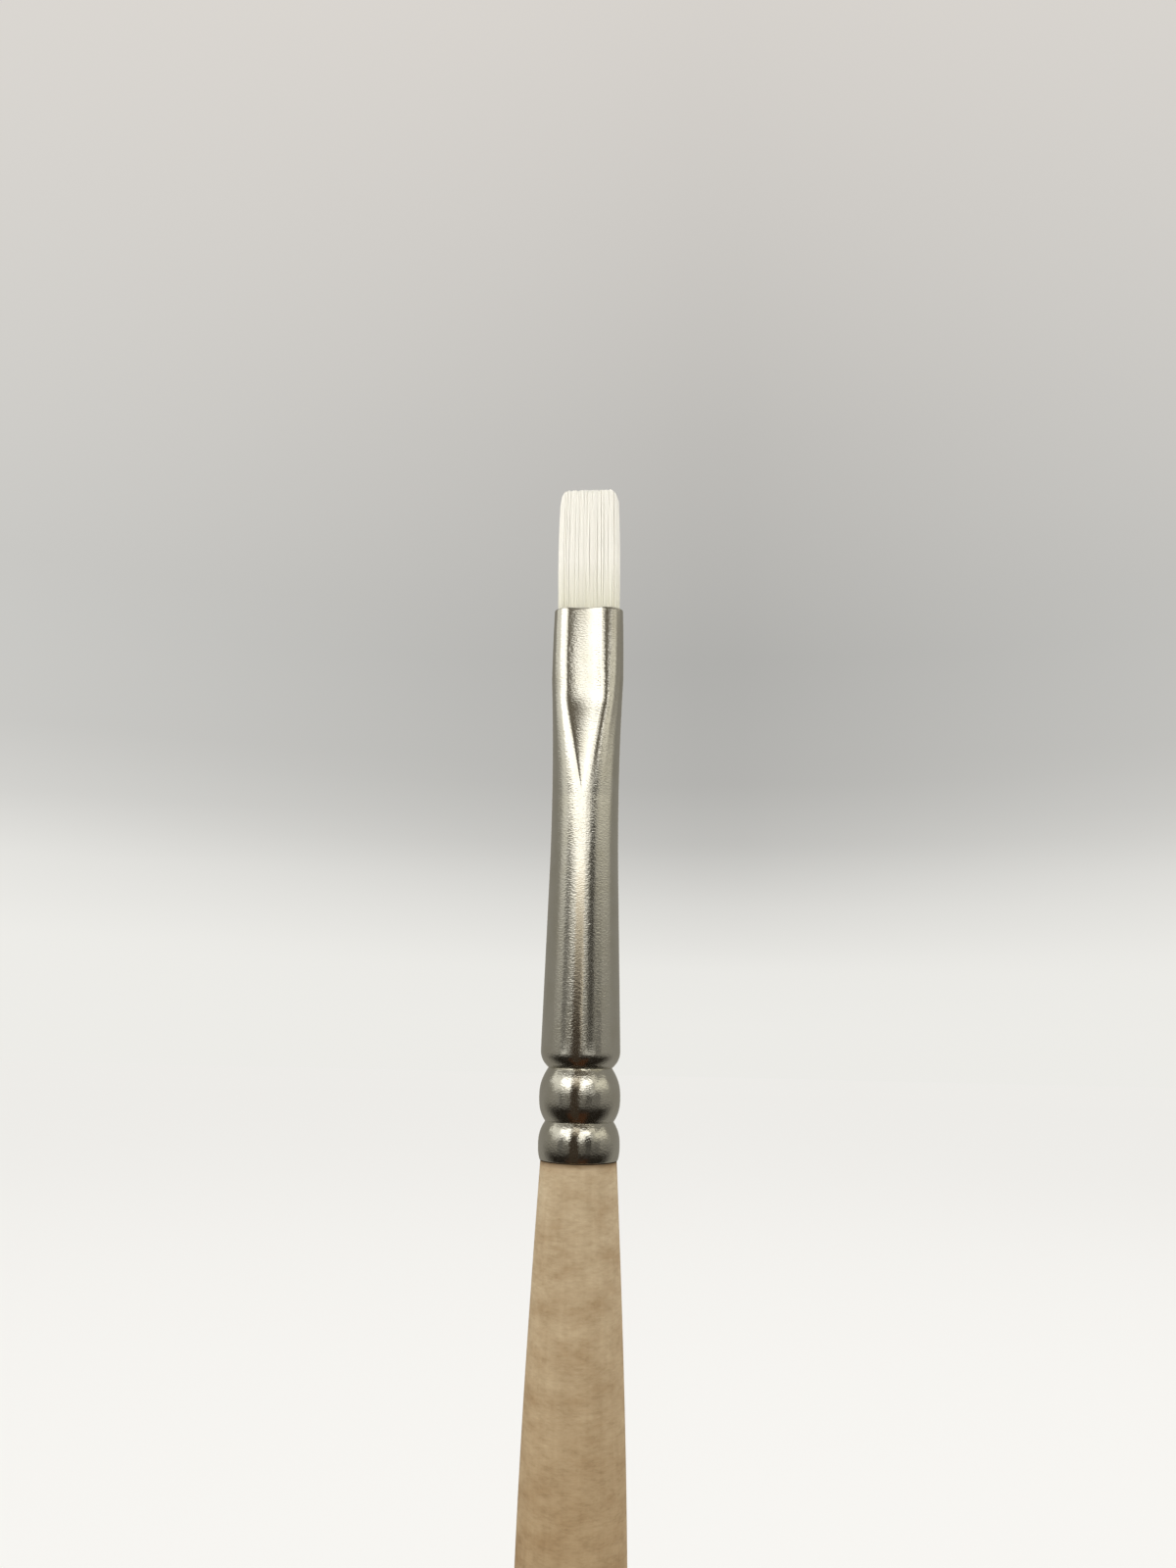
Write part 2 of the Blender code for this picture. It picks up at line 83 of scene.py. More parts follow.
def outwardNormals():
    bpy.ops.mesh.select_all(action="SELECT")
    bpy.ops.mesh.normals_make_consistent(inside=False)
    bpy.ops.mesh.select_all(action="DESELECT")
    bpy.ops.object.mode_set(mode="OBJECT")


def applyModifiers(piece):
    bpy.context.view_layer.objects.active = piece
    for name in [m.name for m in piece.modifiers]:
        bpy.ops.object.modifier_apply(modifier=name)


def handIn(piece, node, material):
    piece.data.materials.clear()
    piece.data.materials.append(material)
    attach(piece, "root")
    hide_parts(node)
    piece.select_set(False)
    print("made", piece.name, len(piece.data.polygons), "faces")


def newMaterial(name, colour, roughness, metallic=0.0):
    material = bpy.data.materials.new(name)
    material.use_nodes = True
    tree = material.node_tree
    shader = tree.nodes["Principled BSDF"]
    shader.inputs["Base Color"].default_value = (*colour, 1)
    shader.inputs["Roughness"].default_value = roughness
    shader.inputs["Metallic"].default_value = metallic
    return material, tree, shader


def noiseNode(tree, stretch, detail, rough=0.5):
    # noise on object coordinates; stretch is how many features there are in a metre of x, y and z
    coords = tree.nodes.new("ShaderNodeTexCoord")
    mapping = tree.nodes.new("ShaderNodeMapping")
    mapping.inputs["Scale"].default_value = stretch
    noise = tree.nodes.new("ShaderNodeTexNoise")
    noise.inputs["Scale"].default_value = 1
    noise.inputs["Detail"].default_value = detail
    noise.inputs["Roughness"].default_value = rough
    tree.links.new(coords.outputs["Object"], mapping.inputs["Vector"])
    tree.links.new(mapping.outputs["Vector"], noise.inputs["Vector"])
    return noise.outputs["Fac"]


def rampNode(tree, source, stops):
    # stops is a list of (place from 0 to 1, colour)
    ramp = tree.nodes.new("ShaderNodeValToRGB")
    tree.links.new(source, ramp.inputs["Fac"])
    elements = ramp.color_ramp.elements
    while len(elements) < len(stops):
        elements.new(0.5)
    for element, (place, colour) in zip(elements, stops):
        element.position = place
        element.color = (*colour, 1)
    return ramp.outputs["Color"]


def heightShare(tree, fromZ, toZ):
    # 0 at one height of the brush, 1 at the other
    coords = tree.nodes.new("ShaderNodeTexCoord")
    split = tree.nodes.new("ShaderNodeSeparateXYZ")
    share = tree.nodes.new("ShaderNodeMapRange")
    share.inputs["From Min"].default_value = fromZ
    share.inputs["From Max"].default_value = toZ
    tree.links.new(coords.outputs["Object"], split.inputs["Vector"])
    tree.links.new(split.outputs["Z"], share.inputs["Value"])
    return share.outputs["Result"]


def multiplied(tree, colour, by, share):
    blend = tree.nodes.new("ShaderNodeMixRGB")
    blend.blend_type = "MULTIPLY"
    blend.inputs["Fac"].default_value = share
    tree.links.new(colour, blend.inputs["Color1"])
    tree.links.new(by, blend.inputs["Color2"])
    return blend.outputs["Color"]


def addBump(tree, shader, height, strength, distance, under=None):
    # distance is in metres; under is the result of a bump that this one lies on
    bump = tree.nodes.new("ShaderNodeBump")
    bump.inputs["Strength"].default_value = strength
    bump.inputs["Distance"].default_value = distance
    tree.links.new(height, bump.inputs["Height"])
    if under:
        tree.links.new(under, bump.inputs["Normal"])
    tree.links.new(bump.outputs["Normal"], shader.inputs["Normal"])
    return bump.outputs["Normal"]


# camera: a phone held close, a little below the bristles and looking up at them

view = {
    "lens": 27.0,  # mm, on a long side of 36 mm
    "longSide": 36,
    "nearest": 2 * mm,
    "inFront": 75.97 * mm,
    "aboveRim": 8.285 * mm,
    "toTheRight": 0.155 * mm,
    "turnedRound": math.radians(6.5),
    "lookingUp": math.radians(11.5),
    "rolled": math.radians(1.06),
}


def placeCamera():
    data = bpy.data.cameras.new("phone")
    data.lens = view["lens"]
    data.sensor_width = view["longSide"]
    data.clip_start = view["nearest"]
    camera = bpy.data.objects.new("phone", data)
    bpy.context.scene.collection.objects.link(camera)
    turn = view["turnedRound"]
    out = Vector((math.sin(turn), -math.cos(turn), 0))
    right = Vector((math.cos(turn), math.sin(turn), 0))
    place = out * view["inFront"] + right * view["toTheRight"]
    place.z = rimZ + view["aboveRim"]
    facing = Matrix.Rotation(turn, 4, "Z") @ Matrix.Rotation(math.pi / 2 + view["lookingUp"], 4, "X")
    camera.matrix_world = Matrix.Translation(place) @ facing @ Matrix.Rotation(view["rolled"], 4, "Z")
    bpy.context.scene.camera = camera
    print("camera placed")


placeCamera()


# handle: one turned stick of bare wood

wood = {
    "sides": 96,
    "neck": 4.74 * mm,
    "belly": 6.7 * mm,
    "bellyBelowRim": 30.0 * mm,
    "tail": 3.9 * mm,
    "endLength": 1.9 * mm,
    "endFlat": 2.0 * mm,
    "endRings": 10,
    "rings": 110,
    "underRim": 0.05 * mm,  # the wood steps in this far under the ferrule
    "tenon": 3.98 * mm,
    "tenonTaper": 0.3 * mm,
    "tenonChamfer": 0.5 * mm,
    "smoothUpTo": math.radians(35),
    "colour": (0.425, 0.322, 0.196),
    "paleStreak": (0.475, 0.372, 0.236),
    "darkFleck": (0.365, 0.262, 0.148),
    "paintedRimShadow": (0.30, 0.23, 0.15),
    "paintedRimShadowLength": 0.35 * mm,  # painted shadow: a soft dark line on the wood just under the ferrule, where the ferrule shades it
    "paintedFalloff": (0.82, 0.75, 0.65),  # painted shade: lower down the wood is made deeper and warmer, as the light falls off down the handle
    "paintedFalloffFrom": 2.0 * mm,
    "paintedFalloffTo": 20.0 * mm,
    "roughness": 0.72,
    "gloss": 0.25,
    # features in a metre of x, y and z
    "mottle": (420, 420, 800),
    "smudges": (1500, 1500, 3800),
    "pores": (2300, 2300, 9500),
    "grain": (2600, 2600, 90),
    # what the last three multiply the colour with, and how much of that shows
    "smudgeTints": [(0.3, (0.87, 0.855, 0.82)), (0.5, (1, 1, 1)), (0.7, (1.05, 1.055, 1.06))],
    "smudgeShare": 0.9,
    "poreTints": [(0.3, (0.9, 0.885, 0.85)), (0.5, (1, 1, 1)), (0.64, (1, 1, 1)), (0.76, (1.14, 1.15, 1.16))],
    "poreShare": 0.8,
    "grainTints": [(0.3, (0.9, 0.885, 0.86)), (0.6, (1, 1, 1))],
    "grainShare": 0.6,
    "reliefDepth": 0.02 * mm,
    "grainRelief": 0.25,
    "poreRelief": 0.4,
}


def handleRadius(below):
    # quarter wave from the neck to the belly, then a slow taper to the tail
    neck, belly, tail = wood["neck"] / 2, wood["belly"] / 2, wood["tail"] / 2
    if below < wood["bellyBelowRim"]:
        return mix(neck, belly, math.sin(math.pi / 2 * below / wood["bellyBelowRim"]))
    run = rimZ - wood["endLength"] - wood["bellyBelowRim"]
    return mix(tail, belly, math.cos(math.pi / 2 * (below - wood["bellyBelowRim"]) / run) ** 2)


def turnHandle():
    profile = []
    for angle in stepsBetween(0, math.pi / 2, wood["endRings"]):
        radius = mix(wood["endFlat"] / 2, wood["tail"] / 2, math.sin(angle))
        profile.append((radius, wood["endLength"] * (1 - math.cos(angle))))
    for below in stepsBetween(rimZ - wood["endLength"], wood["underRim"], wood["rings"])[1:]:
        profile.append((handleRadius(below), rimZ - below))
    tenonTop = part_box("handle")[1].z
    tenonEnd = wood["tenon"] / 2 - wood["tenonTaper"]
    profile.append((wood["tenon"] / 2, rimZ - wood["underRim"]))
    profile.append((tenonEnd, tenonTop - wood["tenonChamfer"]))
    profile.append((tenonEnd - wood["tenonChamfer"], tenonTop))
    piece = startCircle("handleWood", wood["sides"], profile[0][0], 0, fill="NGON")
    extrudeAlong(profile)
    outwardNormals()
    bpy.ops.object.shade_smooth_by_angle(angle=wood["smoothUpTo"])
    return piece


def bareWood():
    material, tree, shader = newMaterial("bareWood", wood["colour"], wood["roughness"])
    shader.inputs["Specular IOR Level"].default_value = wood["gloss"]
    mottle = noiseNode(tree, wood["mottle"], detail=4, rough=0.6)
    smudges = noiseNode(tree, wood["smudges"], detail=3, rough=0.6)
    pores = noiseNode(tree, wood["pores"], detail=2, rough=0.6)
    grain = noiseNode(tree, wood["grain"], detail=4)
    mottleColours = [(0.32, wood["darkFleck"]), (0.5, wood["colour"]), (0.7, wood["paleStreak"])]
    colour = rampNode(tree, mottle, mottleColours)
    colour = multiplied(tree, colour, rampNode(tree, smudges, wood["smudgeTints"]), wood["smudgeShare"])
    colour = multiplied(tree, colour, rampNode(tree, pores, wood["poreTints"]), wood["poreShare"])
    colour = multiplied(tree, colour, rampNode(tree, grain, wood["grainTints"]), wood["grainShare"])
    # painted shadow: the wood is darkened just under the ferrule's rim
    nearRim = heightShare(tree, rimZ, rimZ - wood["paintedRimShadowLength"])
    shade = rampNode(tree, nearRim, [(0, wood["paintedRimShadow"]), (1, (1, 1, 1))])
    colour = multiplied(tree, colour, shade, 1)
    # painted shade: the wood darkens and warms towards the belly
    falloffShare = heightShare(tree, rimZ - wood["paintedFalloffFrom"], rimZ - wood["paintedFalloffTo"])
    paintedFalloffTint = rampNode(tree, falloffShare, [(0, (1, 1, 1)), (1, wood["paintedFalloff"])])
    tree.links.new(multiplied(tree, colour, paintedFalloffTint, 1), shader.inputs["Base Color"])
    fine = addBump(tree, shader, grain, wood["grainRelief"], wood["reliefDepth"])
    addBump(tree, shader, pores, wood["poreRelief"], wood["reliefDepth"], fine)
    return material


handIn(turnHandle(), "handle", bareWood())


# ferrule: a drawn cone, crimped twice onto the wood and pressed flat at the mouth

nickel = {
    "sides": 144,
    "facePart": 24,  # of the sides, how many lie on each pressed face
    "wall": 0.25 * mm,
    "lowerBead": 5.09 * mm,
    "lowerBeadLength": 2.31 * mm,
    "upperBead": 5.09 * mm,
    "upperBeadLength": 3.23 * mm,
    "lowerCrimp": 4.29 * mm,
    "upperCrimp": 4.03 * mm,
    "lowerCrest": 0.38,  # of the lower bead's length, from the rim
    "rimDrawIn": 0.12 * mm,
    "shoulder": 5.02 * mm,
    "shoulderLength": 1.1 * mm,
    "beadPower": 2.5,
    "beadSag": 0.09,  # the upper bead's crest sits a little below its middle
    "blankMouth": 3.61 * mm,
    "mouthWidth": 4.66 * mm,
    "mouthThickness": 1.9 * mm,
    "mouthFlat": 2.26 * mm,
    "mouthSkew": 0.158,  # the tool pressed the mouth a little off the middle
    "widest": 4.82 * mm,
    "widestBelowMouth": 4.9 * mm,
    "creaseThickness": 2.28 * mm,
    "creaseFlat": 2.40 * mm,
    "creaseSkew": 0.05,
    "creaseSoft": 0.75 * mm,  # how far the bend at the crease reaches up and down
    "pressLength": 6.4 * mm,
    "veeLength": 6.6 * mm,
    "fadeLength": 12.0 * mm,
    "fadePower": 2.6,
    "dish": 0.18 * mm,
    "ridgeRound": 0.2 * mm,  # half the width of the point where the V starts
    "skewOver": 0.4,  # of the press's length, over which it goes off the middle
    "rings": (22, 32, 14, 16, 60, 36),  # lower bead, upper bead, shoulder, cone, stretch with the V, mouth
    "rimRound": 0.05 * mm,
    "rimSteps": 3,
    "smoothUpTo": math.radians(40),
    "colour": (0.66, 0.642, 0.575),
    "stain": (0.62, 0.598, 0.52),
    "roughness": 0.14,
    "crimpedRoughness": 0.125,
    "shinier": 0.03,
    "duller": 0.05,
    "crimpedBelow": 0.2 * mm,  # under the upper crimp it is as rough as the beads
    "drawnAbove": 0.5 * mm,  # over the shoulder it is as rough as the cone
    "alongLines": 0.7,  # it blurs more up and down than round, as metal turned on a lathe does
    "linesTurned": 0.25,  # of a turn, for that
    "lines": (5200, 5200, 12500),  # features in a metre of x, y and z
    "cloud": (900, 900, 700),
    "lineRelief": 0.5,
    "lineDepth": 0.023 * mm,
}

ferruleLength = mouthZ - rimZ
lowerCrimpS = nickel["lowerBeadLength"]
upperCrimpS = lowerCrimpS + nickel["upperBeadLength"]
shoulderS = upperCrimpS + nickel["shoulderLength"]
creaseS = ferruleLength - nickel["pressLength"]
veeS = creaseS - nickel["veeLength"]
fadeS = creaseS - nickel["fadeLength"]
widestS = ferruleLength - nickel["widestBelowMouth"]


def blankRadius(s):
    return mix(nickel["shoulder"], nickel["blankMouth"], (s - shoulderS) / (ferruleLength - shoulderS)) / 2


def turnedRadius(s):
    # rim, lower bead, crimp, upper bead, crimp, shoulder, cone
    lower, upper = nickel["lowerBead"] / 2, nickel["upperBead"] / 2
    lowerCrimp, upperCrimp = nickel["lowerCrimp"] / 2, nickel["upperCrimp"] / 2
    power = nickel["beadPower"]
    crest = nickel["lowerCrest"] * lowerCrimpS
    if s < crest:
        return lower - nickel["rimDrawIn"] * (1 - s / crest) ** power
    if s < lowerCrimpS:
        return mix(lower, lowerCrimp, ((s - crest) / (lowerCrimpS - crest)) ** power)
    if s < upperCrimpS:
        off = 2 * (s - lowerCrimpS) / nickel["upperBeadLength"] - 1
        off += nickel["beadSag"] * (1 - off**2)
        return mix(upper, lowerCrimp if off < 0 else upperCrimp, abs(off) ** power)
    if s < shoulderS:
        return mix(nickel["shoulder"] / 2, upperCrimp, ((shoulderS - s) / nickel["shoulderLength"]) ** power)
    return blankRadius(s)


def pressedWidth(s):
    # half width: the tube spreads sideways as it is pressed, and draws in again at the mouth
    if s <= widestS:
        spreadOut = nickel["widest"] / 2 - blankRadius(widestS)
        return blankRadius(s) + spreadOut * ((s - fadeS) / (widestS - fadeS)) ** 2
    return mix(nickel["widest"], nickel["mouthWidth"], ((s - widestS) / nickel["widestBelowMouth"]) ** 2) / 2


def bentThickness(s):
    # half thickness with a hard bend at the crease
    if s <= creaseS:
        pressed = blankRadius(creaseS) - nickel["creaseThickness"] / 2
        return blankRadius(s) - pressed * ((s - fadeS) / nickel["fadeLength"]) ** nickel["fadePower"]
    return mix(nickel["creaseThickness"], nickel["mouthThickness"], (s - creaseS) / nickel["pressLength"]) / 2


def pressedThickness(s):
    # the same with the bend rounded off
    soft = nickel["creaseSoft"]
    t = (s - creaseS) / (2 * soft) + 0.5
    if not 0 < t < 1:
        return bentThickness(s)
    low, bend, high = bentThickness(creaseS - soft), bentThickness(creaseS), bentThickness(creaseS + soft)
    return mix(mix(low, bend, t), mix(bend, high, t), t)


def pressedSection(s):
    # half width, half thickness, half width of the flat, depth of its dish and how far it is off the middle
    width, thick = pressedWidth(s), pressedThickness(s)
    if s <= creaseS:
        vee = max(0.0, (s - veeS) / nickel["veeLength"])
        return width, thick, nickel["creaseFlat"] / 2 * vee, nickel["dish"] * vee, nickel["creaseSkew"] * vee
    t = (s - creaseS) / nickel["pressLength"]
    flat = mix(nickel["creaseFlat"], nickel["mouthFlat"], t) / 2
    skew = mix(nickel["creaseSkew"], nickel["mouthSkew"], min(1.0, t / nickel["skewOver"]))
    return width, thick, flat, nickel["dish"], skew


def pressedPoint(s, place):
    # place counts sides round the tube from the middle of the front face, 0 to sides
    sides, facePart = nickel["sides"], nickel["facePart"]
    width, thick, flat, dish, skew = pressedSection(s)
    roundReach = width * math.sin(math.pi * facePart / sides)
    tip = nickel["ridgeRound"]
    half = sides // 2
    side = place % half
    mirror = 1 if place < half else -1
    flat *= 1 - skew * mirror
    if s <= veeS:
        reach = mix(roundReach, tip, (s - fadeS) / (veeS - fadeS))
    else:
        reach = max(flat, tip)
    fromMiddle = side if side <= half // 2 else side - half
    if abs(fromMiddle) <= facePart / 2:
        x = reach * fromMiddle / (facePart / 2)
        if abs(x) < flat:
            y = thick - dish * (1 - (x / flat) ** 2)
        else:
            y = thick * math.sqrt(1 - ((abs(x) - flat) / (width - flat)) ** 2)
        if side > half // 2:  # the far face, met from its own side
            return Vector((-x, y)) * mirror
        return Vector((x, -y)) * mirror
    first = math.asin(max(0.0, reach - flat) / (width - flat))
    t = (side - facePart / 2) / (half - facePart)
    angle = mix(first, math.pi - first, t)
    return Vector((flat + (width - flat) * math.sin(angle), -thick * math.cos(angle))) * mirror


def pressMouth(piece):
    sides = nickel["sides"]
    for v in piece.data.vertices:
        s = v.co.z - rimZ
        if s > fadeS + sameHeight:
            turn = math.atan2(v.co.x, -v.co.y) / math.tau  # 0 in front, growing to +X
            place = round(turn * sides) % sides
            v.co.xy = pressedPoint(s, place)


def makeFerrule():
    marks = [0, lowerCrimpS, upperCrimpS, shoulderS, fadeS, creaseS, ferruleLength]
    heights = [0]
    for low, high, count in zip(marks, marks[1:], nickel["rings"]):
        heights += stepsBetween(low, high, count)[1:]
    profile = [(turnedRadius(s), rimZ + s) for s in heights]
    piece = startCircle("ferruleNickel", nickel["sides"], profile[0][0], rimZ)
    extrudeAlong(profile)
    outwardNormals()
    pressMouth(piece)
    wall = piece.modifiers.new("wall", "SOLIDIFY")
    wall.thickness = nickel["wall"]
    wall.offset = -1
    wall.use_even_offset = True
    applyModifiers(piece)
    roundRims(piece)
    bpy.ops.object.shade_smooth_by_angle(angle=nickel["smoothUpTo"])
    return piece


def roundRims(piece):
    # both cut ends lose their sharp edges
    bpy.ops.object.mode_set(mode="EDIT")
    bpy.ops.mesh.select_mode(type="EDGE")
    bpy.ops.mesh.select_all(action="DESELECT")
    bpy.ops.object.mode_set(mode="OBJECT")
    for edge in piece.data.edges:
        z = [piece.data.vertices[i].co.z for i in edge.vertices]
        level = abs(z[0] - z[1]) < sameHeight
        edge.select = level and min(abs(z[0] - rimZ), abs(z[0] - mouthZ)) < sameHeight
    bpy.ops.object.mode_set(mode="EDIT")
    bpy.ops.mesh.bevel(offset=nickel["rimRound"], segments=nickel["rimSteps"], affect="EDGES")
    bpy.ops.mesh.select_all(action="DESELECT")
    bpy.ops.object.mode_set(mode="OBJECT")


def satinNickel():
    material, tree, shader = newMaterial("satinNickel", nickel["colour"], nickel["roughness"], 1.0)
    shader.inputs["Anisotropic"].default_value = nickel["alongLines"]
    shader.inputs["Anisotropic Rotation"].default_value = nickel["linesTurned"]
    lines = noiseNode(tree, nickel["lines"], detail=1)
    cloud = noiseNode(tree, nickel["cloud"], detail=4)
    shade = rampNode(tree, cloud, [(0.32, nickel["stain"]), (0.6, nickel["colour"])])
    tree.links.new(shade, shader.inputs["Base Color"])
    dull = tree.nodes.new("ShaderNodeMapRange")
    dull.inputs["To Min"].default_value = nickel["roughness"] - nickel["shinier"]
    dull.inputs["To Max"].default_value = nickel["roughness"] + nickel["duller"]
    tree.links.new(lines, dull.inputs["Value"])
    coneZ = rimZ + shoulderS + nickel["drawnAbove"]
    beadZ = rimZ + upperCrimpS - nickel["crimpedBelow"]
    crimped = tree.nodes.new("ShaderNodeMath")
    crimped.operation = "MULTIPLY_ADD"
    crimped.inputs[1].default_value = nickel["crimpedRoughness"] - nickel["roughness"]
    tree.links.new(heightShare(tree, coneZ, beadZ), crimped.inputs[0])
    tree.links.new(dull.outputs["Result"], crimped.inputs[2])
    tree.links.new(crimped.outputs["Value"], shader.inputs["Roughness"])
    addBump(tree, shader, lines, nickel["lineRelief"], nickel["lineDepth"])
    return material


handIn(makeFerrule(), "ferrule", satinNickel())


# bristles: fine nylon filaments packed flat, cut square with soft corners

nylon = {
    "thick": 0.106 * mm,
    "pitch": 0.08 * mm,
    "astray": 0.01 * mm,  # how far a root strays from its place in the pack
    "sides": 5,
    "segments": 8,
    "bluntFrom": 0.99,  # of its length
    "bluntTip": 0.55,  # of its thickness
    "out": 8.66 * mm,
    "down": 1.2 * mm,  # how far they run on inside the mouth
    "mouthWidth": 4.12 * mm,
    "mouthThickness": 1.3 * mm,
    "bellyWidth": 4.18 * mm,
    "bellyThickness": 1.42 * mm,
    "bellyOut": 3.0 * mm,
    "tipWidth": 3.94 * mm,
    "leanLeft": 0.09 * mm,  # the tip has been combed a little to one side
    "tipThickness": 1.0 * mm,
    "cornerWide": 0.45 * mm,
    "cornerTall": 1.0 * mm,
    "uneven": 0.11 * mm,
    "wander": 0.022 * mm,
    "colour": (1.0, 0.97, 0.88),
    # painted shade: the tuft's colour right at the mouth
    "paintedRootShade": (0.85, 0.82, 0.67),
    "shadowLength": 3.5 * mm,  # painted shade: how far above the mouth the tuft is painted a little darker, as if shaded near the ferrule
    "dullest": 0.95,  # of the colour, on the dullest filament
    "dullShare": 0.6,  # of the filaments are duller than the colour
    "roughness": 0.42,
    "throughShare": 0.15,  # of the light that goes on through a filament
    "seed": 11,
}


def insideMouth(x, y):
    # a flat oval with straight faces; those of the bore are dished, so the outermost filaments there
    # run a little into the wall
    half = nylon["mouthThickness"] / 2
    straight = nylon["mouthWidth"] / 2 - half
    return math.hypot(max(0.0, abs(x) - straight), y) < half


def filamentRoots():
    rowStep = nylon["pitch"] * math.sqrt(3) / 2
    rows = int(nylon["mouthThickness"] / 2 / rowStep) + 1
    columns = int(nylon["mouthWidth"] / 2 / nylon["pitch"]) + 1
    roots = []
    for row in range(-rows, rows + 1):
        for column in range(-columns, columns + 1):
            x = (column + (0.5 if row % 2 else 0)) * nylon["pitch"]
            if insideMouth(x, row * rowStep):
                roots.append((x, row * rowStep))
    return roots


def tuftShape(out):
    # how much wider and thicker the tuft is than at the mouth, this far out
    belly = nylon["bellyOut"]
    if out < belly:
        t = math.sin(math.pi / 2 * max(0.0, out) / belly)
        width = mix(nylon["mouthWidth"], nylon["bellyWidth"], t)
        thick = mix(nylon["mouthThickness"], nylon["bellyThickness"], t)
    else:
        t = ((out - belly) / (nylon["out"] - belly)) ** 2
        width = mix(nylon["bellyWidth"], nylon["tipWidth"], t)
        thick = mix(nylon["bellyThickness"], nylon["tipThickness"], t)
    return width / nylon["mouthWidth"], thick / nylon["mouthThickness"]


def oneFilament():
    # unit height, turned like every round piece, with a blunt tip
    radius = nylon["thick"] / 2
    piece = startCircle("filament", nylon["sides"], radius, 0, fill="NGON")
    profile = [(radius, z) for z in stepsBetween(0, nylon["bluntFrom"], nylon["segments"])]
    profile.append((radius * nylon["bluntTip"], 1))
    extrudeAlong(profile)
    outwardNormals()
    return piece


def cutLength(x):
    # how far out a filament is cut, less where the tuft's tip rounds off at its sides
    tipX = abs(x) * nylon["tipWidth"] / nylon["mouthWidth"]
    intoCorner = max(0.0, tipX - (nylon["tipWidth"] / 2 - nylon["cornerWide"]))
    share = min(1.0, intoCorner / nylon["cornerWide"])
    return nylon["out"] - nylon["cornerTall"] * (1 - math.sqrt(1 - share**2))


def bendFilament(mesh, x, y, length, lean, bow, spin):
    # the upright pattern goes to its root, is turned, and follows the tuft with its own lean and bow
    for v in mesh.vertices:
        out = mix(-nylon["down"], length, v.co.z)
        wide, deep = tuftShape(out)
        free = max(0.0, out / nylon["out"])
        sway = math.sin(math.pi * free)
        px = v.co.x * math.cos(spin) - v.co.y * math.sin(spin)
        py = v.co.x * math.sin(spin) + v.co.y * math.cos(spin)
        v.co.x = x * wide + px + lean[0] * free + bow[0] * sway - nylon["leanLeft"] * free
        v.co.y = y * deep + py + lean[1] * free + bow[1] * sway
        v.co.z = mouthZ + out


def growFilaments():
    chance = random.Random(nylon["seed"])
    pattern = oneFilament()
    copies = []
    for x, y in filamentRoots():
        x += chance.uniform(-1, 1) * nylon["astray"]
        y += chance.uniform(-1, 1) * nylon["astray"]
        length = cutLength(x) - nylon["uneven"] * chance.random() ** 2
        lean = [chance.gauss(0, 0.5) * nylon["wander"] for _ in range(2)]
        bow = [chance.gauss(0, 0.5) * nylon["wander"] for _ in range(2)]
        spin = chance.random() * math.tau
        mesh = pattern.data.copy()
        tone = mesh.attributes.new("tone", "FLOAT", "POINT")
        tone.data.foreach_set("value", [chance.random()] * len(mesh.vertices))
        bendFilament(mesh, x, y, length, lean, bow, spin)
        copy = bpy.data.objects.new("filament", mesh)
        bpy.context.scene.collection.objects.link(copy)
        copies.append(copy)
    bpy.data.objects.remove(pattern)
    for copy in copies:
        copy.select_set(True)
    bpy.context.view_layer.objects.active = copies[0]
    bpy.ops.object.join()
    tuft = bpy.context.object
    tuft.name = tuft.data.name = "nylonFilaments"
    bpy.ops.object.shade_smooth()
    print(len(copies), "filaments")
    return tuft


def whiteNylon():
    material, tree, shader = newMaterial("whiteNylon", nylon["colour"], nylon["roughness"])
    tone = tree.nodes.new("ShaderNodeAttribute")
    tone.attribute_name = "tone"
    dull = [nylon["dullest"] * c for c in nylon["colour"]]
    colour = rampNode(tree, tone.outputs["Fac"], [(0, dull), (nylon["dullShare"], nylon["colour"])])
    # painted shade: the filaments are darker near the mouth, fading out above it
    rise = heightShare(tree, mouthZ, mouthZ + nylon["shadowLength"])
    root = [a / b for a, b in zip(nylon["paintedRootShade"], nylon["colour"])]
    shade = rampNode(tree, rise, [(0, root), (1, (1, 1, 1))])
    colour = multiplied(tree, colour, shade, 1)
    tree.links.new(colour, shader.inputs["Base Color"])
    glow = tree.nodes.new("ShaderNodeBsdfTranslucent")
    tree.links.new(colour, glow.inputs["Color"])
    blend = tree.nodes.new("ShaderNodeMixShader")
    blend.inputs["Fac"].default_value = nylon["throughShare"]
    tree.links.new(shader.outputs["BSDF"], blend.inputs[1])
    tree.links.new(glow.outputs["BSDF"], blend.inputs[2])
    tree.links.new(blend.outputs["Shader"], tree.nodes["Material Output"].inputs["Surface"])
    return material


handIn(growFilaments(), "filament_tuft", whiteNylon())


# what is inside the ferrule keeps its own shape and gets a finish

inner = {
    # colour, a deeper colour, roughness and features in a metre of x, y and z
    "root_bundle": ((0.72, 0.68, 0.52), (0.60, 0.55, 0.38), 0.35, (9000, 9000, 120)),
    "binding_thread": ((0.42, 0.33, 0.20), (0.28, 0.21, 0.12), 0.8, (6000, 6000, 9000)),
    "root_epoxy": ((0.62, 0.44, 0.16), (0.50, 0.33, 0.10), 0.12, (500, 500, 500)),
    "tenon_glue": ((0.60, 0.50, 0.28), (0.50, 0.40, 0.20), 0.4, (1500, 1500, 700)),
}
innerRelief = 0.3
innerDepth = 0.03 * mm


def innerFinish(node, colour, deep, rough, stretch):
    material, tree, shader = newMaterial(node + "Finish", colour, rough)
    noise = noiseNode(tree, stretch, detail=4)
    clouded = rampNode(tree, noise, [(0.3, deep), (0.7, colour)])
    tree.links.new(clouded, shader.inputs["Base Color"])
    addBump(tree, shader, noise, innerRelief, innerDepth)
    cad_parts[node].data.materials.clear()
    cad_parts[node].data.materials.append(material)


for node, finish in inner.items():
    innerFinish(node, *finish)
print("inner pieces finished")


# studio: pale floor and backdrop, lamps, and cards that the nickel mirrors

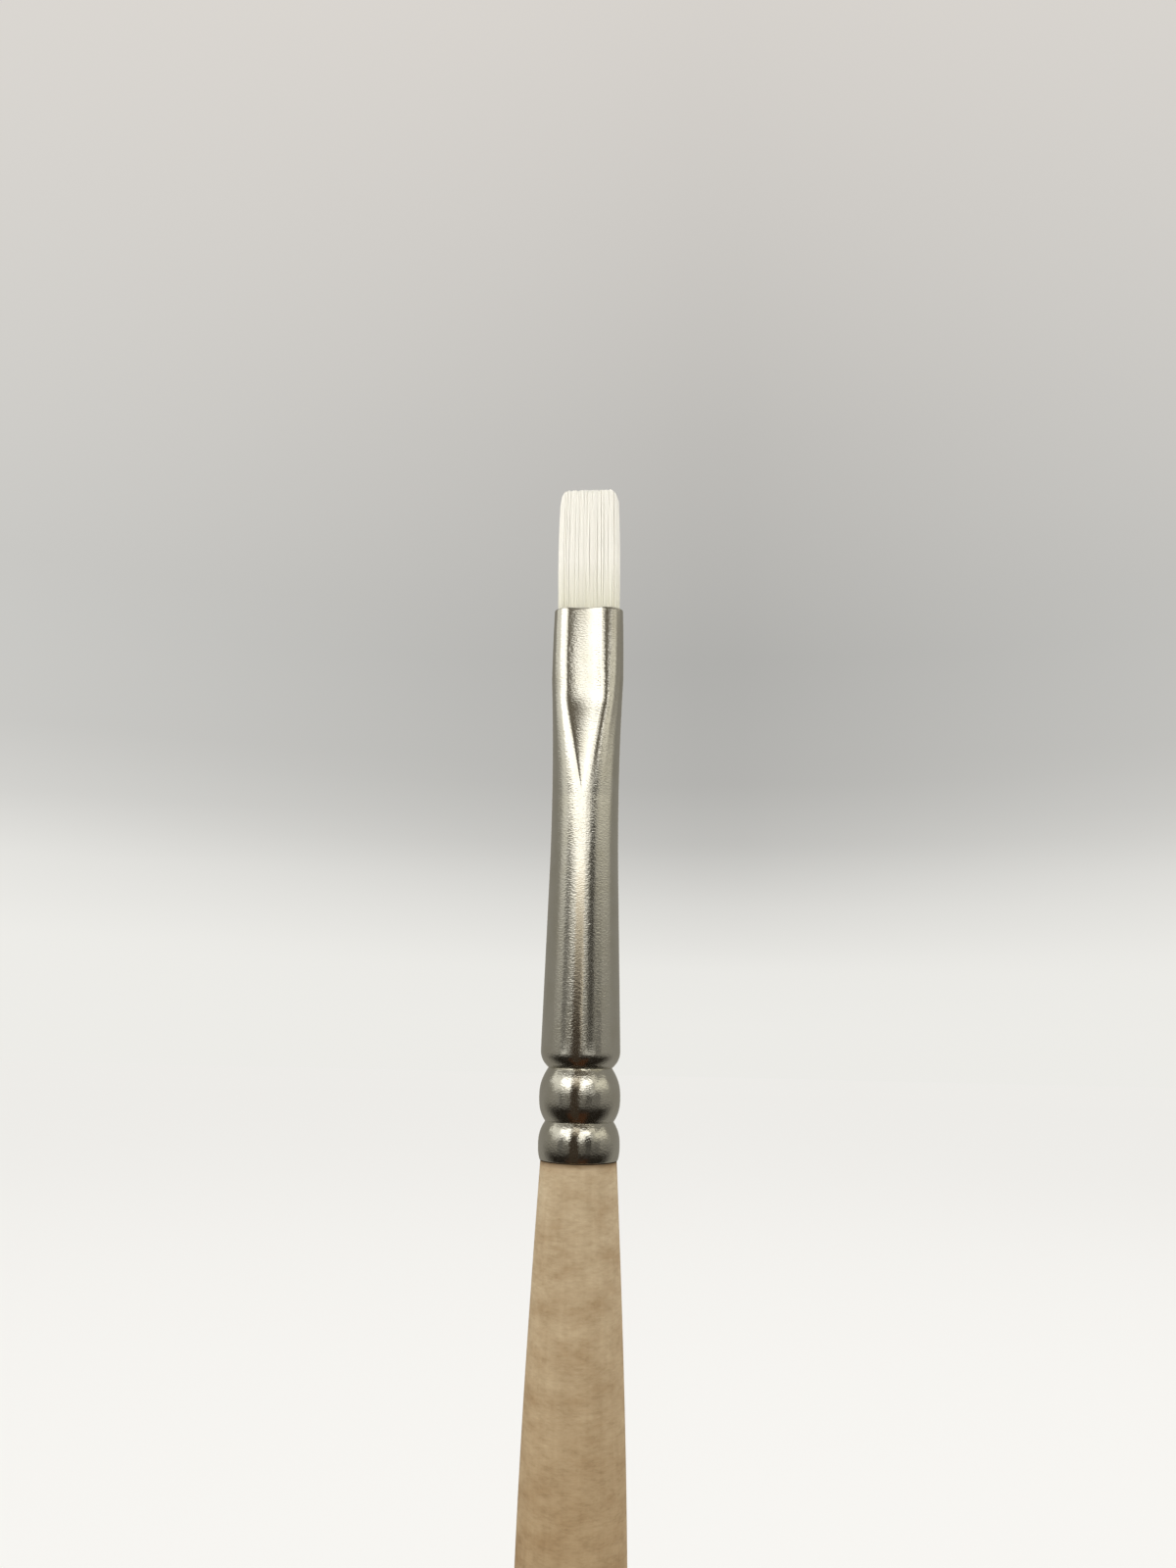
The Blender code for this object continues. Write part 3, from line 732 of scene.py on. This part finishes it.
studio = {
    "floorSize": 6.0,
    "floorDrop": 0.2 * mm,  # under the end of the handle
    "floor": (0.78, 0.775, 0.755),
    "floorRoughness": 0.9,
    "floorGloss": 0.1,
    "floorGlow": (0.94, 0.925, 0.89),
    "floorGlowShare": 0.8,
    "evenTone": (0.9, 0.9, 0.9),
    "evenLight": 0.7,
    # the backdrop's tone by the sine of how high one looks, in the middle and out to the sides
    "middle": [
        (0.0, 0.84), (0.045, 0.82), (0.1, 0.69), (0.15, 0.53),
        (0.2, 0.455), (0.3, 0.435), (0.47, 0.52), (0.75, 0.70),
    ],
    "sides": [
        (0.0, 0.85), (0.06, 0.85), (0.12, 0.78), (0.17, 0.65),
        (0.22, 0.59), (0.34, 0.59), (0.5, 0.66), (0.75, 0.76),
    ],
    "middleTo": 0.02,  # how far to the side the middle reaches, and where the sides start
    "sidesFrom": 0.55,
    "warmth": [(0.3, (1.0, 0.99, 0.95)), (0.72, (1.0, 0.955, 0.90))],
    "cardAcross": 48,  # how finely a card is cut, for its soft edges
    "cardUp": 36,
    "lowCard": 1 * mm,  # height of a card that is laid over the floor
}

cards = [
    # name, mm above the rim it is seen from, metres away (0 for one laid over the floor), degrees of
    # azimuth and elevation from and to, of its soft edges across, low and high, colour, glow
    ("room", 20, 0.600, -180, 180, -13, 90, 0, 0, 0, (1.0, 0.95, 0.84), 0.29),
    ("under", 20, 0, -180, 180, -88, -3.5, 0, 0, 0, (1.0, 0.95, 0.84), 0.29),
    ("underFront", 4, 0.040, -126, 120, -88, -4, 52, 0, 18, (1.0, 0.72, 0.42), 0.012),
    ("underBrown", 4, 0.0395, -45, 33, -84, -27, 14, 8, 14, (1.0, 0.36, 0.10), 0.055),
    ("wallLeft", 20, 0.520, -93, -43, 1, 47, 27, 16, 14, (1.0, 0.98, 0.90), 0.98),
    ("wallFarLeft", 20, 0.522, -112, -64, 15, 44, 16, 8, 12, (1.0, 0.98, 0.90), 0.98),
    ("wallRight", 20, 0.521, 34, 102, 2, 37, 24, 22, 11, (1.0, 0.96, 0.82), 0.95),
    ("sill", 20, 0.510, -42, 18, 1, 20, 12, 10, 7, (1.0, 0.96, 0.86), 0.48),
    ("window", 20, 0.500, -50, 20, 8.8, 50, 22, 4.5, 8, (1.0, 0.98, 0.93), 1.9),
    ("windowFoot", 20, 0.496, -36, 8, 8.0, 13, 17, 2.6, 3, (1.0, 0.98, 0.93), 2.6),
    ("windowLeft", 5, 0.490, -65, -27, 17, 44, 9, 4, 8, (1.0, 0.98, 0.93), 2.4),
    ("windowRight", 5, 0.491, 5, 40, 17, 46, 6, 4, 8, (1.0, 0.98, 0.93), 2.4),
    ("windowBack", 20, 0.500, 161, 199, -14, 45, 16, 6, 8, (1.0, 0.98, 0.93), 1.2),
    ("lowFront", 20, 0.486, -44, 26, -12, 7, 8, 6, 7, (1.0, 0.93, 0.80), 0.15),
    ("gapRight", 20, 0.480, 14, 40, -12, 25, 8, 4, 6, (1.0, 0.92, 0.78), 0.06),
    ("gapLowLeft", 20, 0.482, -64, -40, -12, 14, 8, 6, 8, (1.0, 0.95, 0.85), 0.14),
    ("gapLeft", 20, 0.479, -61, -47, 2, 19, 5, 5, 5, (1.0, 0.95, 0.85), 0.22),
    ("gapLowRight", 20, 0.484, 34, 64, -12, 9, 8, 6, 6, (1.0, 0.95, 0.85), 0.14),
    ("flankRight", 34, 0.055, 26, 60, 5, 26, 5, 6, 5, (1.0, 0.96, 0.84), 0.95),
    ("flankShade", 34, 0.035, 50, 112, 2, 30, 18, 6, 6, (1.0, 0.94, 0.82), 0.31),
    ("archTop", 5, 0.470, -36, 10, 40, 74, 8, 6, 6, (1.0, 0.80, 0.60), 0.08),
    ("beadLeft", 4, 0.0105, -57, -28, 4, 13, 10, 4, 3, (1.0, 0.98, 0.92), 0.95),
    ("beadRight", 4, 0.0105, 4, 40, 4, 13, 10, 4, 3, (1.0, 0.98, 0.92), 0.95),
    ("arch", 5, 0.024, -25, 5, 8, 40, 5, 4, 3, (1.0, 0.88, 0.70), 0.90),
    ("archBright", 5, 0.0238, -28, 7, 36.5, 43, 6, 3, 3, (1.0, 0.94, 0.84), 1.6),
    ("bar", 5, 0.022, -29, 2.5, -60, 40, 7, 3, 28, (1.0, 0.68, 0.40), 0.04),
    ("shade", 29, 0.025, -1, 26, 4, 42, 10, 4, 4, (1.0, 0.88, 0.68), 0.15),
    ("shadeVee", 30, 0.060, -27, 62, 21, 52, 33, 12, 5, (1.0, 0.84, 0.62), 0.14),
]


def backdropColour(tree):
    coords = tree.nodes.new("ShaderNodeTexCoord")
    split = tree.nodes.new("ShaderNodeSeparateXYZ")
    tree.links.new(coords.outputs["Generated"], split.inputs["Vector"])
    ramps = []
    for place in ("middle", "sides"):
        stops = [(sine, (tone, tone, tone)) for sine, tone in studio[place]]
        ramps.append(rampNode(tree, split.outputs["Z"], stops))
    aside = tree.nodes.new("ShaderNodeMath")
    aside.operation = "ABSOLUTE"
    tree.links.new(split.outputs["X"], aside.inputs[0])
    share = tree.nodes.new("ShaderNodeMapRange")
    share.inputs["From Min"].default_value = studio["middleTo"]
    share.inputs["From Max"].default_value = studio["sidesFrom"]
    tree.links.new(aside.outputs["Value"], share.inputs["Value"])
    blend = tree.nodes.new("ShaderNodeMixRGB")
    tree.links.new(share.outputs["Result"], blend.inputs["Fac"])
    tree.links.new(ramps[0], blend.inputs["Color1"])
    tree.links.new(ramps[1], blend.inputs["Color2"])
    warmth = rampNode(tree, split.outputs["Z"], studio["warmth"])
    return multiplied(tree, blend.outputs["Color"], warmth, 1)


def lightWorld():
    # the camera, what mirrors and what lets light through see the backdrop; the rest is lit evenly
    world = bpy.data.worlds.new("studio")
    world.use_nodes = True
    tree = world.node_tree
    background = tree.nodes["Background"]
    plain = tree.nodes.new("ShaderNodeBackground")
    plain.inputs["Color"].default_value = (*studio["evenTone"], 1)
    plain.inputs["Strength"].default_value = studio["evenLight"]
    tree.links.new(backdropColour(tree), background.inputs["Color"])
    path = tree.nodes.new("ShaderNodeLightPath")
    shown = tree.nodes.new("ShaderNodeMath")
    shown.operation = "ADD"
    also = tree.nodes.new("ShaderNodeMath")
    also.operation = "ADD"
    also.use_clamp = True
    tree.links.new(path.outputs["Is Camera Ray"], shown.inputs[0])
    tree.links.new(path.outputs["Is Glossy Ray"], shown.inputs[1])
    tree.links.new(shown.outputs["Value"], also.inputs[0])
    tree.links.new(path.outputs["Is Transmission Ray"], also.inputs[1])
    choose = tree.nodes.new("ShaderNodeMixShader")
    tree.links.new(also.outputs["Value"], choose.inputs["Fac"])
    tree.links.new(plain.outputs["Background"], choose.inputs[1])
    tree.links.new(background.outputs["Background"], choose.inputs[2])
    tree.links.new(choose.outputs["Shader"], tree.nodes["World Output"].inputs["Surface"])
    bpy.context.scene.world = world
    print("backdrop lit")


def direction(azimuth, elevation):
    # azimuth 0 is where the camera stands, growing to its right
    turn = view["turnedRound"] + math.radians(azimuth)
    lift = math.radians(elevation)
    return Vector((math.sin(turn) * math.cos(lift), -math.cos(turn) * math.cos(lift), math.sin(lift)))


def coverAt(u, v, soft):
    # 1 well inside the card, easing to 0 at its edges
    softAcross, softLow, softHigh = soft
    inside = 1.0
    for share, edge in ((u, softAcross), (1 - u, softAcross), (v, softLow), (1 - v, softHigh)):
        if edge:
            inside = min(inside, share / edge)
    return inside * inside * (3 - 2 * inside)


def glowingCard(name, colour, glow):
    # glows where the card's cover is 1 and lets everything through where it is 0
    material = bpy.data.materials.new(name)
    material.use_nodes = True
    tree = material.node_tree
    tree.nodes.remove(tree.nodes["Principled BSDF"])
    emission = tree.nodes.new("ShaderNodeEmission")
    emission.inputs["Color"].default_value = (*colour, 1)
    emission.inputs["Strength"].default_value = glow
    through = tree.nodes.new("ShaderNodeBsdfTransparent")
    share = tree.nodes.new("ShaderNodeAttribute")
    share.attribute_name = "cover"
    blend = tree.nodes.new("ShaderNodeMixShader")
    tree.links.new(share.outputs["Fac"], blend.inputs["Fac"])
    tree.links.new(through.outputs["BSDF"], blend.inputs[1])
    tree.links.new(emission.outputs["Emission"], blend.inputs[2])
    tree.links.new(blend.outputs["Shader"], tree.nodes["Material Output"].inputs["Surface"])
    return material


def hangCard(name, placeAt, soft, colour, glow):
    # a grid with soft edges, seen only by what mirrors it
    across, up = studio["cardAcross"], studio["cardUp"]
    verts, faces, cover = [], [], []
    for j in range(up + 1):
        for i in range(across + 1):
            verts.append(placeAt(i / across, j / up))
            cover.append(coverAt(i / across, j / up, soft))
    for j in range(up):
        for i in range(across):
            a = j * (across + 1) + i
            faces.append((a, a + across + 1, a + across + 2, a + 1))
    mesh = bpy.data.meshes.new(name)
    mesh.from_pydata(verts, [], faces)
    mesh.attributes.new("cover", "FLOAT", "POINT").data.foreach_set("value", cover)
    mesh.materials.append(glowingCard(name, colour, glow))
    card = bpy.data.objects.new(name, mesh)
    bpy.context.scene.collection.objects.link(card)
    card.visible_camera = False
    card.visible_diffuse = False
    card.visible_shadow = False
    card.visible_transmission = False


def hangCards():
    # each card is a piece of a sphere round a place on the brush's axis, or lies flat over the floor
    for name, above, distance, west, east, low, high, softAcross, softLow, softHigh, colour, glow in cards:
        centre = Vector((0, 0, rimZ + above * mm))

        def placeAt(u, v):
            towards = direction(mix(west, east, u), mix(low, high, v))
            if distance:
                return centre + towards * distance
            return centre - towards * (centre.z - studio["lowCard"]) / towards.z

        soft = (softAcross / (east - west), softLow / (high - low), softHigh / (high - low))
        hangCard(name, placeAt, soft, colour, glow)
    print(len(cards), "cards hung")


def paleFloor():
    material, tree, shader = newMaterial("floor", studio["floor"], studio["floorRoughness"])
    shader.inputs["Specular IOR Level"].default_value = studio["floorGloss"]
    glow = tree.nodes.new("ShaderNodeEmission")
    glow.inputs["Color"].default_value = (*studio["floorGlow"], 1)
    share = tree.nodes.new("ShaderNodeMixShader")
    share.inputs["Fac"].default_value = studio["floorGlowShare"]
    tree.links.new(shader.outputs["BSDF"], share.inputs[1])
    tree.links.new(glow.outputs["Emission"], share.inputs[2])
    tree.links.new(share.outputs["Shader"], tree.nodes["Material Output"].inputs["Surface"])
    return material


def layFloor():
    bpy.ops.mesh.primitive_plane_add(size=studio["floorSize"], location=(0, 0, -studio["floorDrop"]))
    floor = bpy.context.object
    floor.name = "floor"
    bpy.ops.object.transform_apply(location=True)
    floor.data.materials.append(paleFloor())
    floor.select_set(False)
    print("floor laid")


lamps = [
    # name, azimuth, elevation, size in metres, distance, watts
    ("key", -48, 28, 0.5, 0.7, 2.6),
    ("fill", 74, 20, 0.5, 0.7, 1.8),
    ("top", 170, 65, 0.6, 0.8, 1.5),
    ("rimLeft", -130, 34, 0.4, 0.8, 0.5),
    ("rimRight", 130, 34, 0.4, 0.8, 0.8),
]


def hangLamps():
    for name, azimuth, elevation, size, distance, watts in lamps:
        data = bpy.data.lights.new(name, "AREA")
        data.size = size
        data.energy = watts
        lamp = bpy.data.objects.new(name, data)
        bpy.context.scene.collection.objects.link(lamp)
        towards = direction(azimuth, elevation)
        lamp.location = Vector((0, 0, rimZ)) + towards * distance
        lamp.rotation_euler = towards.to_track_quat("Z", "Y").to_euler()
        lamp.visible_camera = False
        lamp.visible_glossy = False
    print(len(lamps), "lamps hung")


lightWorld()
hangCards()
layFloor()
hangLamps()
bpy.context.scene.view_settings.view_transform = "Standard"
